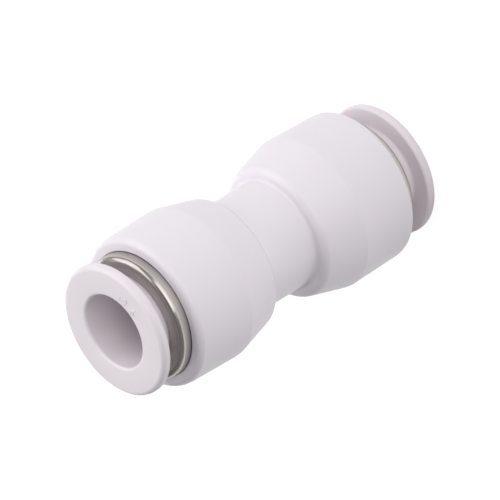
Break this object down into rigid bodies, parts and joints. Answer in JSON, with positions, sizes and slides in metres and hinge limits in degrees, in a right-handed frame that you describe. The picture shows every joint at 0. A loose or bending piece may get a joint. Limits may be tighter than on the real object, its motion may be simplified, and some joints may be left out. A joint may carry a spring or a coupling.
{
  "type": "straight push-in union",
  "caption": "Straight push-in union that joins two 6 mm tubes end to end, with a flanged release collar in each end.",
  "frame": {"origin": "centre of the union, half way between the faces of its two release collars", "axes": "+Z along the tube axis; the union stands on its lower collar's face, and the two ends are alike"},
  "size_m": [0.0128, 0.0128, 0.0294],
  "materials": {
    "body_plastic": "moulded PBT, satin, pale lilac white",
    "collar_plastic": "moulded acetal, satin, white",
    "plated_brass": "turned, bright nickel plated",
    "spring_steel": "stamped stainless strip",
    "backup_plastic": "moulded acetal, natural",
    "seal_rubber": "moulded nitrile rubber, black"
  },
  "bodies": {
    "union": {"body": "body_plastic", "upper_guide_ring": "plated_brass", "upper_lock_claw": "spring_steel", "upper_backup_ring": "backup_plastic", "upper_seal_ring": "seal_rubber", "lower_guide_ring": "plated_brass", "lower_lock_claw": "spring_steel", "lower_backup_ring": "backup_plastic", "lower_seal_ring": "seal_rubber"},
    "upper_collar": {"upper_release_collar": "collar_plastic"},
    "lower_collar": {"lower_release_collar": "collar_plastic"}
  },
  "joints": [
    {"name": "upper_release", "type": "slide", "parent": "union", "child": "upper_collar", "axis": [0, 0, -1], "range_m": [0, 0.0012], "stiffness_N_per_m": 5000, "deforming": ["upper_lock_claw"]},
    {"name": "lower_release", "type": "slide", "parent": "union", "child": "lower_collar", "axis": [0, 0, 1], "range_m": [0, 0.0012], "stiffness_N_per_m": 5000, "deforming": ["lower_lock_claw"]}
  ]
}
